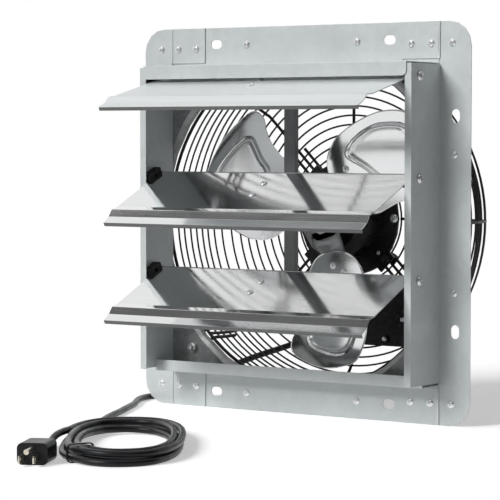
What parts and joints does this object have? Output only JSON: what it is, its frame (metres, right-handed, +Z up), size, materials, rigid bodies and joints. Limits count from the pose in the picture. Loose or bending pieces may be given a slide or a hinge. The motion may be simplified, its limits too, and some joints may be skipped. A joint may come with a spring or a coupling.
{
  "type": "shutter exhaust fan",
  "caption": "Wall exhaust fan in a square steel flange, with linked gravity louvers in front, a bladed wheel on a motor, a wire guard, a wiring box and a mains lead.",
  "frame": {"origin": "centre of the mounting flange, on its front plane, which lies on the wall", "axes": "+X right and +Z up seen from the louvers, -Y out of the wall towards the louvers, +Y into the room towards the guard"},
  "size_m": [0.4045, 0.5855, 0.3901],
  "materials": {
    "galvanised_steel": "galvanised sheet, faint spangle, satin",
    "polished_aluminium": "bright rolled, near mirror",
    "zinc_plated_steel": "bright zinc plate",
    "black_painted_steel": "black powder coat, satin",
    "black_plastic": "moulded, matte",
    "black_cord": "soft sheath, satin",
    "plug_brass": "stamped, bright"
  },
  "bodies": {
    "frame": {"frame_left": "galvanised_steel", "frame_right": "galvanised_steel", "frame_top": "galvanised_steel", "frame_bottom": "galvanised_steel", "orifice_plate": "galvanised_steel", "pivot_screw_top_left": "zinc_plated_steel", "pivot_screw_top_right": "zinc_plated_steel", "pivot_screw_middle_left": "zinc_plated_steel", "pivot_screw_middle_right": "zinc_plated_steel", "pivot_screw_bottom_left": "zinc_plated_steel", "pivot_screw_bottom_right": "zinc_plated_steel", "guard_bolt_1": "zinc_plated_steel", "guard_bolt_2": "zinc_plated_steel", "guard_bolt_3": "zinc_plated_steel", "guard_bolt_4": "zinc_plated_steel", "bracket_bolt_1": "zinc_plated_steel", "bracket_bolt_2": "zinc_plated_steel", "bracket_bolt_3": "zinc_plated_steel", "bracket_bolt_4": "zinc_plated_steel", "clamp_screw_1": "zinc_plated_steel", "clamp_screw_2": "zinc_plated_steel", "motor_body": "black_painted_steel", "motor_bracket": "black_painted_steel", "motor_rear_cover": "black_painted_steel", "wire_guard": "black_painted_steel", "wiring_box_clamp": "black_painted_steel", "wiring_box": "black_plastic", "coil_tie": "black_plastic", "cord_gland": "black_cord", "power_cord": "black_cord", "cord_coil": "black_cord", "plug_lead": "black_cord", "plug_body": "black_cord", "plug_blade_left": "plug_brass", "plug_blade_right": "plug_brass", "plug_ground_pin": "plug_brass"},
    "louver_top": {"louver_top": "polished_aluminium", "link_bracket_top": "zinc_plated_steel", "tie_pin_top": "zinc_plated_steel", "hinge_block_top_left": "black_plastic", "hinge_block_top_right": "black_plastic"},
    "louver_middle": {"louver_middle": "polished_aluminium", "link_bracket_middle": "zinc_plated_steel", "tie_pin_middle": "zinc_plated_steel", "hinge_block_middle_left": "black_plastic", "hinge_block_middle_right": "black_plastic"},
    "louver_bottom": {"louver_bottom": "polished_aluminium", "link_bracket_bottom": "zinc_plated_steel", "tie_pin_bottom": "zinc_plated_steel", "hinge_block_bottom_left": "black_plastic", "hinge_block_bottom_right": "black_plastic"},
    "tie_bar": {"tie_bar": "galvanised_steel"},
    "fan_wheel": {"fan_blade_1": "polished_aluminium", "fan_blade_2": "polished_aluminium", "fan_blade_3": "polished_aluminium", "fan_spider": "zinc_plated_steel", "fan_hub": "zinc_plated_steel", "motor_shaft": "zinc_plated_steel"}
  },
  "joints": [
    {"name": "louver_top_pivot", "type": "hinge", "parent": "frame", "child": "louver_top", "pos_m": [0, -0.0387, 0.1414], "axis": [1, 0, 0], "range_deg": [-6, 59]},
    {"name": "louver_middle_pivot", "type": "hinge", "parent": "frame", "child": "louver_middle", "pos_m": [0, -0.0387, 0.044], "axis": [1, 0, 0], "range_deg": [-6, 59]},
    {"name": "louver_bottom_pivot", "type": "hinge", "parent": "frame", "child": "louver_bottom", "pos_m": [0, -0.0387, -0.0534], "axis": [1, 0, 0], "range_deg": [-6, 59]},
    {"name": "tie_bar_pin", "type": "hinge", "parent": "louver_top", "child": "tie_bar", "pos_m": [0, -0.02486, 0.1342], "axis": [1, 0, 0], "range_deg": [-59, 6]},
    {"name": "fan_spin", "type": "hinge", "parent": "frame", "child": "fan_wheel", "pos_m": [0, 0.041, 0], "axis": [0, -1, 0], "continuous": true}
  ],
  "couplings": [
    {"joint": "louver_middle_pivot", "follows": "louver_top_pivot", "ratio": 1},
    {"joint": "louver_bottom_pivot", "follows": "louver_top_pivot", "ratio": 1},
    {"joint": "tie_bar_pin", "follows": "louver_top_pivot", "ratio": -1}
  ]
}
